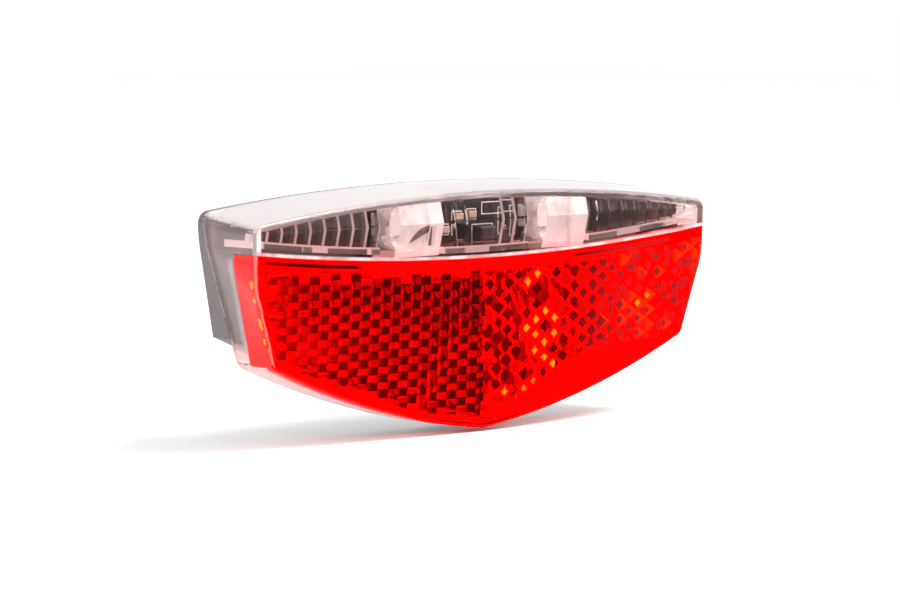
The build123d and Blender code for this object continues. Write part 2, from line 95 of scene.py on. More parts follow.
class Field:
    """A value over a surface, worked out by nodes. | takes the larger of two and & the smaller."""

    def __init__(self, tree, socket):
        self.tree = tree
        self.socket = socket

    def worked(self, operation, first, second=0.0):
        """What a Math node gives for one or two fields or numbers."""
        made = self.tree.nodes.new("ShaderNodeMath")
        made.operation = operation
        for socket, value in zip(made.inputs, (first, second)):
            if isinstance(value, Field):
                self.tree.links.new(value.socket, socket)
            else:
                socket.default_value = value
        return Field(self.tree, made.outputs["Value"])

    def __add__(self, other):
        return self.worked("ADD", self, other)

    def __sub__(self, other):
        return self.worked("SUBTRACT", self, other)

    def __rsub__(self, other):
        return self.worked("SUBTRACT", other, self)

    def __mul__(self, other):
        return self.worked("MULTIPLY", self, other)

    def __truediv__(self, other):
        return self.worked("DIVIDE", self, other)

    def __or__(self, other):
        return self.worked("MAXIMUM", self, other)

    def __and__(self, other):
        return self.worked("MINIMUM", self, other)

    def __abs__(self):
        return self.worked("ABSOLUTE", self)

    def whole(self):
        """The value rounded down."""
        return self.worked("FLOOR", self)

    def fraction(self):
        """What is left of the value above a whole number."""
        return self.worked("FRACT", self)

    def mapped(self, **ends):
        """The value after a node that maps one range to another."""
        ramp = self.tree.nodes.new("ShaderNodeMapRange")
        for name, number in ends.items():
            ramp.inputs[name.replace("_", " ").title()].default_value = number
        feed(ramp, "Value", self)
        return Field(self.tree, ramp.outputs["Result"])

    def stretched(self, low, high):
        """The value, from 0 at low to 1 at high and no further."""
        return self.mapped(from_min=low, from_max=high)

    def spread(self, low, high):
        """The value, spread from low to high."""
        return self.mapped(to_min=low, to_max=high)

    def above(self, limit, soft):
        """1 where the value is above the limit and 0 where it is below, with a soft step."""
        return (self - limit).stretched(-soft, soft)

    def below(self, limit, soft):
        """1 where the value is below the limit and 0 where it is above, with a soft step."""
        return (limit - self).stretched(-soft, soft)

    def following(self, stops):
        """A value that follows these (place, height) stops along this one."""
        low, high = stops[0][0], stops[-1][0]
        ramp = self.tree.nodes.new("ShaderNodeValToRGB")
        feed(ramp, "Fac", self.stretched(low, high))
        band = ramp.color_ramp
        while len(band.elements) < len(stops):
            band.elements.new(0.5)
        for element, (place, height) in zip(band.elements, stops):
            element.position = (place - low) / (high - low)
        for element, (place, height) in zip(band.elements, stops):
            element.color = (height, height, height, 1.0)
        return Field(self.tree, ramp.outputs["Color"])


def feed(node, name, source):
    """Link a field or a node's output to this input of the node."""
    socket = source.socket if isinstance(source, Field) else source
    node.id_data.links.new(socket, node.inputs[name])


def largest(fields):
    """The largest of the fields."""
    made = fields[0]
    for field in fields[1:]:
        made = made | field
    return made


def material(name):
    """A new node material, with its tree, its Principled shader and its output."""
    made = bpy.data.materials.new(name)
    made.use_nodes = True
    tree = made.node_tree
    return made, tree, tree.nodes["Principled BSDF"], tree.nodes["Material Output"]


def noise(tree, scale, detail=3.0):
    """Noise over the object's own coordinates, at this many cells a metre."""
    place = tree.nodes.new("ShaderNodeTexCoord")
    pattern = tree.nodes.new("ShaderNodeTexNoise")
    pattern.inputs["Scale"].default_value = scale
    pattern.inputs["Detail"].default_value = detail
    feed(pattern, "Vector", place.outputs["Object"])
    return Field(tree, pattern.outputs["Fac"])


def places(tree):
    """The object's own coordinates, one by one, in millimetres."""
    place = tree.nodes.new("ShaderNodeTexCoord")
    larger = tree.nodes.new("ShaderNodeVectorMath")
    larger.operation = "SCALE"
    larger.inputs["Scale"].default_value = 1 / mm
    feed(larger, 0, place.outputs["Object"])
    axes = tree.nodes.new("ShaderNodeSeparateXYZ")
    feed(axes, "Vector", larger.outputs["Vector"])
    return [Field(tree, socket) for socket in axes.outputs]


def blended(value, dark, light):
    """A colour between two by the value, each of them a colour or a node's output."""
    mix = value.tree.nodes.new("ShaderNodeMix")
    mix.data_type = "RGBA"
    for name, colour in (("A", dark), ("B", light)):
        if isinstance(colour, tuple):
            mix.inputs[name].default_value = (*colour, 1.0)
        else:
            feed(mix, name, colour)
    feed(mix, "Factor", value)
    return mix.outputs["Result"]


def bumped(shader, value, depth):
    """Relief of this depth, in metres, from the value."""
    relief = value.tree.nodes.new("ShaderNodeBump")
    relief.inputs["Distance"].default_value = depth
    feed(relief, "Height", value)
    feed(shader, "Normal", relief.outputs["Normal"])


def plain(name, dark, light, roughness, rough_spread, scale, metallic=0.0, depth=0.0):
    """A solid surface with uneven colour, uneven gloss and, if asked, a fine grain."""
    made, tree, shader, _ = material(name)
    value = noise(tree, scale)
    feed(shader, "Base Color", blended(value, dark, light))
    feed(shader, "Roughness", value.spread(roughness - rough_spread, roughness + rough_spread))
    shader.inputs["Metallic"].default_value = metallic
    if depth:
        bumped(shader, value, depth)
    return made


def passed_light(tree, shader, output, passing):
    """A see-through plastic's index, and this much of the lamps' light through it, not a shadow."""
    shader.inputs["IOR"].default_value = plastic_index
    path = tree.nodes.new("ShaderNodeLightPath")
    through = tree.nodes.new("ShaderNodeBsdfTransparent")
    through.inputs["Color"].default_value = (*passing, 1.0)
    mix = tree.nodes.new("ShaderNodeMixShader")
    feed(mix, "Fac", path.outputs["Is Shadow Ray"])
    feed(mix, 1, shader.outputs["BSDF"])
    feed(mix, 2, through.outputs["BSDF"])
    feed(output, "Surface", mix.outputs["Shader"])


def clear(name, tint, roughness, passing, haze=0.0):
    """A see-through plastic with some haze, which lets the lamps' light through its shadow."""
    made, tree, shader, output = material(name)
    value = noise(tree, 900.0)
    feed(shader, "Base Color", blended(value, tuple(0.97 * c for c in tint), tint))
    feed(shader, "Roughness", value.spread(0.6 * roughness, roughness))
    shader.inputs["Transmission Weight"].default_value = 1.0 - haze
    passed_light(tree, shader, output, passing)
    return made


# Along the reflector: share of dark in the space behind the prisms
dark_shares = ((-58, 0.4), (-50, 0.65), (-40, 0.85), (-30, 1.0), (58, 1.0))
plate_dark = (0.05, 0.02, 0.02)
plate_light = (0.95, 0.95, 0.95)


def plate_pattern():
    """Back plate seen through the prisms: dark where nothing lights it, pale where light enters."""
    made, tree, shader, _ = material("plate plastic")
    x = places(tree)[0]
    patches = noise(tree, 330.0, 0.0).stretched(0.34, 0.66) * 0.85
    light = patches.above(x.following(dark_shares), 0.15)
    feed(shader, "Base Color", blended(light, plate_dark, plate_light))
    shader.inputs["Roughness"].default_value = 0.5
    return made


# Upper edge of the reflector and its lower edge, in millimetres
red_top_centre = 6.5
red_top_rise = 3.4
red_half = 59.6
red_apex = -25.5
red_foot = -11.0
red_foot_half = 53.0
red_belly = 2.2
side_lean = 0.263

# Net of the prisms: width of a diamond and its height, in millimetres
net_width = 2 * 2.51
net_height = 2.9

# Left half: where the prisms fade in below the top, above the foot and from the end,
# how much of their dark shows along it, and the border with the right half
top_fade = (0.8, 5.0)
foot_fade = (1.2, 3.4)
end_fade = (-58.5, -50.0)
fade_sharpness = 1.6
left_depth = ((-58, 0.85), (-48, 0.9), (-36, 0.96), (-24, 0.975), (0, 0.975))
border_jump = 1.6
border_left = (-0.4, -0.6)
border_right = (-0.6, -0.4)

# Along the right half: share of dark diamonds, painted shade of the prisms, their size, how
# crumpled they are, share of splinters, of hatched, orange and warm diamonds, and how high the
# plain red foot reaches
shaded_cells = (
    (-2, 1.0), (9, 1.0), (12, 0.5), (17, 0.5), (20, 1.0), (30, 0.95), (36, 0.65), (48, 0.65),
    (58, 0.4)
)
shaded_sizes = ((-2, 1.0), (9, 1.0), (20, 0.95), (32, 0.9), (40, 0.75), (58, 0.6))
crumpling = ((-2, 0.35), (18, 0.25), (58, 0.15))
shard_shares = ((-2, 0.4), (9, 0.35), (12, 0.25), (20, 0.25), (25, 0.12), (58, 0.1))
hatched_cells = ((0, 0.25), (16, 0.4), (22, 0.15), (40, 0.2), (58, 0.4))
orange_cells = ((0, 0.0), (8, 0.06), (10, 0.5), (18, 0.45), (21, 0.05), (34, 0.03), (58, 0.05))
warm_cells = ((0, 0.0), (22, 0.0), (30, 0.15), (38, 0.3), (58, 0.3))
plain_foot = ((-2, 0.0), (0, 0.01), (17, 0.26), (27, 0.42), (36, 0.46), (50, 0.5), (58, 0.55))

# A diamond of the right half: how fast it ends sideways and up, its crumpling and its draws,
# the strokes of a hatched one, and the small strokes between diamonds
diamond_slimness = 2.3
diamond_flatness = 1.45
crumple_scale = 900.0
crumple_depth = 4.0
size_draws = (1.0, 1.5)
depth_draws = (0.92, 1.0)
hatch_strokes = 4.5
hatch_share = 0.52
stroke_start = 0.38
stroke_half = 0.26
stroke_chance = 0.55
stroke_depth = 0.7
shard_depth = 0.8

# Where the right half's diamonds end above the plain foot and below the top, in millimetres
foot_margin = 1.8
foot_end = (0.0, 1.5)
top_end = (1.6, 3.0)

# Gleams: how an orange diamond grows bright towards its middle, and a warm one along its slant
orange_core = (0.95, 0.4)
warm_slant = (-0.4, 0.3)
warm_strength = 0.08

# Dark lines: below the top, above the foot and along the right side, and their depth along x
top_line = (0.75, 1.5)
top_line_depth = (
    (-58, 0.0), (-55, 0.8), (-50, 1.0), (-34, 1.0), (-31, 0.0), (20, 0.0), (23, 0.9), (47, 0.8),
    (49, 0.0)
)
# Painted shade of the flange below the top: how far down it reaches, and its depth along x
flange_shade_reach = 0.9
flange_shade_depth = ((-58, 0.0), (-55, 0.22), (-36, 0.18), (-32, 0.0), (0, 0.0))
foot_line = (0.5, 1.0)
foot_line_depth = ((-22, 0.0), (-10, 0.7), (2, 0.9), (9, 0.7), (11, 0.0))
side_line_width = 0.55
side_line_depth = 0.6

# Colours of the right half: lit red, orange, and the painted shade near the middle and near the end
lit_red = (1.0, 0.0, 0.0)
lit_orange = (1.0, 0.2, 0.005)
middle_shade = (0.075, 0.0, 0.0)
end_shade = (0.22, 0.008, 0.01)
shade_change = (22.0, 36.0)


def cell_noise(across, up, lift):
    """One random value for each cell of a net."""
    tree = across.tree
    corner = tree.nodes.new("ShaderNodeCombineXYZ")
    feed(corner, "X", across.whole())
    feed(corner, "Y", up.whole())
    corner.inputs["Z"].default_value = lift
    random = tree.nodes.new("ShaderNodeTexWhiteNoise")
    feed(random, "Vector", corner.outputs["Vector"])
    return Field(tree, random.outputs["Value"])


def shards(x, z):
    """One random value for each of many small slanting splinters."""
    tree = x.tree
    place = tree.nodes.new("ShaderNodeCombineXYZ")
    feed(place, "X", x + z * 0.35)
    feed(place, "Y", z * 0.62)
    cells = tree.nodes.new("ShaderNodeTexVoronoi")
    cells.voronoi_dimensions = "2D"
    cells.inputs["Scale"].default_value = 0.85
    feed(cells, "Vector", place.outputs["Vector"])
    random = tree.nodes.new("ShaderNodeTexWhiteNoise")
    random.noise_dimensions = "2D"
    feed(random, "Vector", cells.outputs["Position"])
    return Field(tree, random.outputs["Value"])


def top_edge(x):
    """Height of the reflector's upper edge."""
    share = x / red_half
    return share * share * red_top_rise + red_top_centre


def red_front():
    """The reflector's front: clear over the left prisms, diamonds of painted prism shade on the
    right, red round them.
    """
    made, tree, shader, output = material("red front")
    x, _, z = places(tree)
    below_top = top_edge(x) - z
    along = abs(x) / red_foot_half
    sag = along * (1.0 - along) * (4 * red_belly)
    above_foot = z - red_apex - (along * (red_foot - red_apex) - sag)

    # on the left the prisms show everywhere but near the rim, where they fade out cell by cell
    chance = cell_noise(x / (net_width / 2), z / (net_height / 2), 3.0)
    fade = below_top.stretched(*top_fade) & above_foot.stretched(*foot_fade)
    fade = fade & x.stretched(*end_fade)
    shown = (fade * fade_sharpness - chance).stretched(0.0, 0.6)
    border = x + chance * border_jump
    left, right = border.stretched(*border_left), border.stretched(*border_right)
    feed(shader, "Transmission Weight", shown * left * x.following(left_depth))

    # on the right the prisms' shade is painted in tall dark diamonds of the net, some of them
    # hatched
    width_share, height_share = x / net_width, z / net_height
    across, up = width_share + height_share, width_share - height_share
    in_across, in_up = across.fraction() - 0.5, up.fraction() - 0.5
    from_side, from_level = abs(in_across + in_up), abs(in_across - in_up)
    reach = from_side * diamond_slimness + from_level * diamond_flatness
    crumple = noise(tree, crumple_scale, 1.0) - 0.5
    ragged = reach + crumple * x.following(crumpling) * crumple_depth
    draws = [cell_noise(across, up, lift) for lift in (0.0, 7.0, 13.0, 19.0, 23.0)]
    size_draw, dark_draw, orange_draw, hatch_draw, depth_draw = draws
    size = x.following(shaded_sizes) * size_draw.spread(*size_draws)
    strokes = (in_up * hatch_strokes).fraction()
    hatch = x.following(hatched_cells).above(hatch_draw, 0.01)
    solid = 1.0 - hatch * strokes.above(hatch_share, 0.12)
    kept = x.following(shaded_cells).above(dark_draw, 0.01)
    diamonds = size.above(ragged, 0.06) * solid * kept * depth_draw.spread(*depth_draws)

    # between them stand small strokes and splinters of painted shade, and the foot stays plain
    beside = abs(in_up).above(stroke_start, 0.02) * abs(in_across).below(stroke_half, 0.04)
    beside = beside * hatch_draw.above(stroke_chance, 0.01) * stroke_depth
    splinters = x.following(shard_shares).above(shards(x, z), 0.02) * shard_depth
    inner = z - red_apex - (x.following(plain_foot) * -red_apex + foot_margin)
    bounds = inner.stretched(*foot_end) & below_top.stretched(*top_end)
    orange = x.following(orange_cells).above(orange_draw, 0.01)
    dark = (diamonds | beside | splinters) * bounds * right * (1.0 - orange)

    # some diamonds catch the light: narrow orange ones near the middle, warm ones at the end
    warm = x.following(warm_cells).above(orange_draw, 0.01)
    gleam = ragged.stretched(*orange_core) * orange * bounds * right
    glow = (in_across + in_up).stretched(*warm_slant) * warm * bounds * right * warm_strength

    # dark lines where the flange and the sides meet the front, and a band of painted shade from the
    # flange below the top
    streak = below_top.above(top_line[0], 0.08) * below_top.below(top_line[1], 0.1)
    streak = streak * x.following(top_line_depth)
    flange = below_top.below(flange_shade_reach, 0.2) * x.following(flange_shade_depth)
    low_line = above_foot.above(foot_line[0], 0.1) * above_foot.below(foot_line[1], 0.1)
    low_line = low_line * x.following(foot_line_depth)
    side = (z - red_foot) * side_lean + red_foot_half
    side_line = x.above(side - side_line_width, 0.1) * side_line_depth

    colour = blended(gleam | glow, lit_red, lit_orange)
    # colour of the painted shade and the dark lines: deeper near the middle, lighter towards the
    # end
    shade = blended(x.stretched(*shade_change), middle_shade, end_shade)
    dark = largest([dark, streak, flange, low_line, side_line])
    feed(shader, "Base Color", blended(dark, colour, shade))
    shader.inputs["Roughness"].default_value = 0.02
    shader.inputs["Specular Tint"].default_value = red_shine
    passed_light(tree, shader, output, (0.6, 0.01, 0.008))
    return made


# The window's milky line over the reflector, tinted pink as a painted highlight, and its milky left
# end, in millimetres
window_line = 0.65
window_end = -56.8
window_end_milk = 0.7


def window_front():
    """The window: clear, with a milky line along its lower edge, tinted pink as a painted
    highlight.
    """
    made, tree, shader, output = material("window front")
    x, _, z = places(tree)
    spots = noise(tree, 350.0).stretched(0.35, 0.65)
    low = (z - top_edge(x)).below(window_line, 0.15)
    milk = low * spots.spread(0.55, 0.85) | x.below(window_end, 0.1) * window_end_milk
    feed(shader, "Transmission Weight", 1.0 - milk)
    # the line's pink is a painted highlight
    pink = low * spots.spread(1.0, 0.4)
    feed(shader, "Base Color", blended(pink, (0.9, 0.72, 0.71), (0.9, 0.4, 0.38)))
    shader.inputs["Roughness"].default_value = 0.02
    passed_light(tree, shader, output, (0.85, 0.82, 0.82))
    return made


# The side wall's milky band behind the reflector's side, and its milky foot, in millimetres
band_back = -8.0
band_front = -9.6
band_top = 9.0
band_milk = 0.22
wall_foot = (-6.5, -8.5)
wall_foot_milk = 0.6
least_milk = 0.04


def side_wall():
    """The cover's side: clear, milky low down and along the back of the reflector's side."""
    made, tree, shader, output = material("side wall")
    _, y, z = places(tree)
    band = y.above(band_front, 0.2) * y.below(band_back, 0.4) * z.below(band_top, 0.5) * band_milk
    foot = z.stretched(*wall_foot)
    milk = band | foot * wall_foot_milk | least_milk
    milk = milk * noise(tree, 200.0).stretched(0.35, 0.65).spread(0.7, 1.0)
    feed(shader, "Transmission Weight", 1.0 - milk)
    feed(shader, "Base Color", blended(foot, (0.95, 0.8, 0.79), (0.93, 0.55, 0.52)))
    shader.inputs["Roughness"].default_value = 0.03
    passed_light(tree, shader, output, (0.94, 0.9, 0.9))
    return made


# Lamp blocks, in millimetres: each lamp's distance from the middle, where the milk starts beside
# the lamp, where it ends towards the back, and the block's bright edge
lamp_offset = 19.0
block_start = (-2.9, -2.7)
block_back = (-11.7, -12.1)
block_edge = (4.4, 4.6)

# The left block's dark crescent, a painted reflection under a circle and over a slanting chord, and
# its clear gap
crescent_circle = (4.6, 8.0, 5.1)
crescent_right = 4.5
chord_slope = 0.44
chord_height = 9.9
gap_sides = (4.8, 6.3)
gap_ends = (9.3, 12.9)
gap_clearness = 0.12

# The right block's pale grey chevron, painted shade: its bend, its slope, its middle and half its
# width
chevron_bend = 13.0
chevron_slope = 0.35
chevron_middle = 2.4
chevron_half = 0.4
chevron_shade = 0.25

# The cone's start and its bright stem; the cone's milky streaks and stem are painted highlights
cone_start = (-11.2, -10.6)
stem_ends = (12.0, 14.4)
least_cone_milk = 0.06


def block_plastic(lamp):
    """A lamp block: clear beside the cone, milky where the block fills with light, with a painted
    dark reflection or painted shade on it and painted highlights on the cone.
    """
    made, tree, shader, output = material("block plastic")
    x, y, z = places(tree)
    aside = x - lamp
    milk = aside.stretched(*block_start) * y.stretched(*block_back)
    streaks = noise(tree, 220.0).stretched(0.4, 0.6)
    inside, bright = streaks.spread(0.5, 0.9), aside.stretched(*block_edge)
    if lamp < 0:
        # the left block: a dark crescent painted as a reflection, and a clear gap
        middle, height, radius = crescent_circle
        from_middle, over = aside - middle, z - height
        shaded = (from_middle * from_middle + over * over).below(radius * radius, 0.6)
        chord = z - aside * chord_slope
        shaded = shaded * aside.below(crescent_right, 0.05) * chord.above(chord_height, 0.1)
        shaded = shaded * y.below(block_back[0], 0.1) * streaks.spread(1.0, 0.8)
        gap = aside.above(gap_sides[0], 0.05) * aside.below(gap_sides[1], 0.05)
        gap = gap * z.above(gap_ends[0], 0.1) * z.below(gap_ends[1], 0.1)
        inside = (inside | bright * (1.0 - gap)) * gap.spread(1.0, gap_clearness)
    else:
        # the right block: a pale grey chevron painted as shade
        bend = abs(z - chevron_bend) * chevron_slope
        shaded = abs(aside - chevron_middle - bend).below(chevron_half, 0.05) * chevron_shade
        inside = inside | bright
    # the cone's milky streaks and stem are painted highlights
    stem = z.above(stem_ends[0], 0.1) * z.below(stem_ends[1], 0.1)
    cone = y.stretched(*cone_start) * (streaks.spread(0.15, 0.8) | stem)
    milk = milk * inside | (cone | least_cone_milk)
    feed(shader, "Transmission Weight", 1.0 - milk)
    feed(shader, "Base Color", blended(shaded, (1.0, 0.98, 0.975), (0.16, 0.13, 0.13)))
    shader.inputs["Roughness"].default_value = 0.08
    passed_light(tree, shader, output, (0.85, 0.82, 0.82))
    return made


# Orange gleams on the left side of the reflector: height and half length, in millimetres
side_gleams = ((4.5, 0.8), (1.7, 0.45), (-2.6, 1.1), (-5.8, 0.6))
side_gleam_depth = -14.7
side_gleam_half = 0.5


def red_side():
    """The reflector's sides: glossy red, with small orange gleams near the front on the left."""
    made, tree, shader, _ = material("red moulding")
    x, y, z = places(tree)
    aside = (y - side_gleam_depth) / side_gleam_half
    spots = []
    for height, half in side_gleams:
        off = (z - height) / half
        spots.append((aside * aside + off * off).stretched(1.2, 0.8))
    gleam = largest(spots) * x.stretched(0.0, -1.0)
    feed(shader, "Base Color", blended(gleam, (1.0, 0.013, 0.011), (1.0, 0.25, 0.0)))
    feed(shader, "Roughness", noise(tree, 300).spread(0.1, 0.18))
    shader.inputs["Specular Tint"].default_value = (1.0, 0.35, 0.33, 1.0)
    return made


# Middle line of the guide's shelf, and the bright line over it, in millimetres
shelf_middle = 8.2
shelf_end_rise = 3.8
shelf_half = 60.0
shelf_line = 0.3
shelf_line_milk = 0.7

# Milky stretches of the shelf's front, from left to right, which meet at x = -29.2
left_stretches = (
    (-60, 0.9), (-55.4, 0.9), (-55, 0.1), (-46.2, 0.1), (-46, 0.7), (-45.6, 0.15), (-43.8, 0.15),
    (-43.6, 0.75), (-40, 0.75), (-39.8, 0.1), (-30.4, 0.1), (-30.2, 0.8), (-29.3, 0.8),
    (-29.1, 0.1), (-26.5, 0.1)
)
right_stretches = (
    (-26.5, 0.1), (-26.3, 0.6), (-10.7, 0.6), (-10.5, 0.2), (-5.7, 0.2), (-5.5, 0.6), (0.6, 0.6),
    (0.8, 0.1), (26.3, 0.1), (34.7, 0.1), (34.9, 0.65), (41, 0.65), (41.2, 0.1), (51.6, 0.1),
    (51.8, 0.9), (60, 0.9)
)
stretches_meet = -29.2


def strip_plastic():
    """The shelf's front: a bright line along its top, milky stretches below it."""
    made, tree, shader, output = material("strip plastic")
    x, _, z = places(tree)
    milk = (x.following(left_stretches) * x.below(stretches_meet, 0.01)
            | x.following(right_stretches) * x.above(stretches_meet, 0.01))
    share = x / shelf_half
    over = z - shelf_middle - share * share * shelf_end_rise
    milk = milk | over.above(shelf_line, 0.05) * shelf_line_milk
    feed(shader, "Transmission Weight", 1.0 - milk)
    shader.inputs["Base Color"].default_value = (0.82, 0.6, 0.58, 1.0)
    shader.inputs["Roughness"].default_value = 0.1
    passed_light(tree, shader, output, (0.85, 0.8, 0.8))
    return made


# Outlines printed on the board: middle, height, half width and half height, in millimetres
board_frames = (
    (-0.2, 11.2, 1.5, 1.0), (6.2, 13.6, 1.5, 1.0), (3.6, 13.4, 1.4, 0.95), (3.6, 11.0, 1.4, 0.95),
    (9.4, 10.2, 2.7, 1.7), (15.2, 12.2, 1.6, 2.4), (12.9, 14.6, 3.6, 1.1),
    (-14.8, 11.0, 0.9, 0.0), (-14.8, 11.0, 0.0, 0.9)
)
print_width = 0.09
print_colour = (0.85, 0.83, 0.82)
board_front = -2.9
track_share = 0.55


def printed_board():
    """Black resist with pale outlines round the packages and faint tracks under it."""
    made, tree, shader, _ = material("printed board")
    x, y, z = places(tree)
    lines = []
    for middle, height, half_width, half_height in board_frames:
        beside, over = abs(x - middle) - half_width, abs(z - height) - half_height
        lines.append(abs(beside | over).below(print_width, 0.03))
    printed = largest(lines) * y.below(board_front, 0.02)
    tracks = (x * 0.5 + z * 0.5).fraction().above(track_share, 0.03)
    value = noise(tree, 500.0)
    ground = value.spread(0.0, 0.6) + tracks * 0.4
    resist = blended(ground, (0.014, 0.012, 0.012), (0.035, 0.03, 0.03))
    feed(shader, "Base Color", blended(printed, resist, print_colour))
    feed(shader, "Roughness", value.spread(0.25, 0.35))
    return made


def finish(names, made):
    """Give these nodes of the frame this material."""
    for name in names:
        piece = nodes[name]
        for slot in piece.material_slots:
            slot.material = made
        if not piece.material_slots:
            piece.data.materials.append(made)


# Materials of the clear cover, the light guide and the lamp blocks
clear_plastic = clear("clear plastic", (0.99, 0.965, 0.96), 0.02, (0.94, 0.92, 0.92))
clear_front = window_front()
clear_top = clear("clear top", (0.76, 0.7, 0.7), 0.1, (0.92, 0.89, 0.89), haze=0.5)
clear_ceiling = clear("clear ceiling", (0.5, 0.45, 0.45), 0.1, (0.92, 0.89, 0.89), haze=0.45)
clear_side = side_wall()
clear_lip = clear("clear lip", (0.97, 0.9, 0.9), 0.3, (0.8, 0.75, 0.75), haze=0.8)
# Milky pale faces on the cover's rounded front edge, low down-facing faces and right end: painted
# highlights
clear_edge_highlight = clear("clear edge highlight", (0.93, 0.8, 0.79), 0.15, (0.8, 0.72, 0.72), haze=0.25)
clear_rim = clear("clear rim", (1.0, 0.58, 0.55), 0.2, (0.8, 0.4, 0.4), haze=0.75)
guide_plastic = clear("guide plastic", (0.99, 0.97, 0.965), 0.03, (0.92, 0.9, 0.9))
left_block, right_block = block_plastic(-lamp_offset), block_plastic(lamp_offset)
guide_frost = clear("guide frost", (1.0, 0.93, 0.92), 0.4, (0.8, 0.7, 0.7), haze=0.85)
shelf_strip = strip_plastic()

# Materials of the reflector
red_plastic = clear("red plastic", (1.0, 0.004, 0.003), 0.015, (0.7, 0.01, 0.008))
red_face = red_front()
red_moulding = red_side()
red_rim = plain("red rim", (0.95, 0.0, 0.0), (1.0, 0.0, 0.0), 0.14, 0.04, 300)
# The side edge's lighter red is a painted highlight along the crease
red_edge_highlight = plain("red edge highlight", (1.0, 0.08, 0.07), (1.0, 0.14, 0.12), 0.3, 0.04, 300)
for made in (red_plastic, red_rim):
    made.node_tree.nodes["Principled BSDF"].inputs["Specular Tint"].default_value = red_shine

# Materials of the other nodes
finish(["base_housing"], plain(
    "housing plastic", (0.12, 0.1, 0.1), (0.15, 0.125, 0.125), 0.45, 0.06, 1800, depth=0.02 * mm))
finish(["guide_shade_left", "guide_shade_right"], plain(
    "shade plastic", (0.035, 0.03, 0.03), (0.05, 0.043, 0.043), 0.4, 0.06, 1200))
finish(["circuit_board"], printed_board())
finish(["bridge_rectifier", "driver_chip", "protection_diodes", "chip_resistors"], plain(
    "package black", (0.03, 0.03, 0.03), (0.045, 0.045, 0.045), 0.55, 0.05, 1200))
finish(["chip_capacitors"], plain(
    "ceramic", (0.48, 0.36, 0.25), (0.56, 0.43, 0.31), 0.4, 0.05, 1200))
finish(["led_left", "led_right"], plain(
    "package white", (0.86, 0.86, 0.84), (0.92, 0.92, 0.9), 0.35, 0.05, 1200))
finish(["storage_capacitor"], plain(
    "sleeve", (0.02, 0.025, 0.05), (0.03, 0.035, 0.07), 0.3, 0.05, 400))
finish(["filter_capacitor"], plain(
    "aluminium", (0.75, 0.75, 0.76), (0.82, 0.82, 0.83), 0.3, 0.06, 600, metallic=1.0))
finish(["terminal_ground", "terminal_live"], plain(
    "tinned brass", (0.7, 0.69, 0.64), (0.8, 0.79, 0.75), 0.32, 0.08, 500, metallic=1.0))
finish(["board_screws", "stud_left", "stud_right", "washer_left", "washer_right", "nut_left",
        "nut_right"], plain(
    "zinc plate", (0.6, 0.61, 0.64), (0.74, 0.75, 0.78), 0.3, 0.08, 600, metallic=1.0))
finish(["terminal_seal"], plain(
    "seal rubber", (0.02, 0.02, 0.02), (0.03, 0.03, 0.03), 0.75, 0.05, 1500))
finish(["reflector_back_plate"], plate_pattern())
finish(["collimator_left"], left_block)
finish(["collimator_right"], right_block)


def mesh_object(name, mesh):
    """A new object in the scene from a mesh."""
    made = bpy.data.objects.new(name, mesh)
    bpy.context.scene.collection.objects.link(made)
    return made


def written(name, mesh):
    """A new object in the scene from a bmesh, which is freed."""
    made = bpy.data.meshes.new(name)
    mesh.to_mesh(made)
    mesh.free()
    return mesh_object(name, made)


def joined(piece, other, way):
    """Give the piece its mesh after an exact boolean with the other one."""
    tool = piece.modifiers.new("cut", "BOOLEAN")
    tool.operation = way
    tool.solver = "EXACT"
    tool.object = other
    bpy.context.view_layer.update()
    shown = piece.evaluated_get(bpy.context.evaluated_depsgraph_get())
    mesh = bpy.data.meshes.new_from_object(shown)
    piece.modifiers.clear()
    piece.data = mesh


# Prisms of the reflector: corner cubes on a honeycomb, standing on the panel's back
prism_pitch = 2.9 * mm
prism_foot = 1.0 * mm
prism_reach = 56.0 * mm
left_rounding = 0.03 * mm
right_rounding = 0.2 * mm
room_depth = 8 * mm
outline_stretch = 12.0
panel_up = Vector((0, -sin(lean_angle), cos(lean_angle)))
panel_back = Vector((0, cos(lean_angle), sin(lean_angle)))
panel_corner = Vector((0, front, lean_start))

# Which faces of the reflector are its flat front, its prisms, its rounded rim and its side edge,
# whose lighter red is a painted highlight
flat_facing = -0.99
flat_depth = 0.2 * mm
prism_facing = 0.4
prism_lift = 0.1 * mm
rim_depth = 0.7 * mm
rim_facing = (-0.985, -0.4)
edge_facing = -0.93
edge_slope = 0.3


def panel_point(across, up, behind):
    """A point of the panel, from its distances across, up the lean and behind the front."""
    return panel_corner + Vector((across, 0, 0)) + panel_up * up + panel_back * behind


def behind_front(point):
    """How far a point lies behind the panel's front."""
    return (point - panel_corner).dot(panel_back)


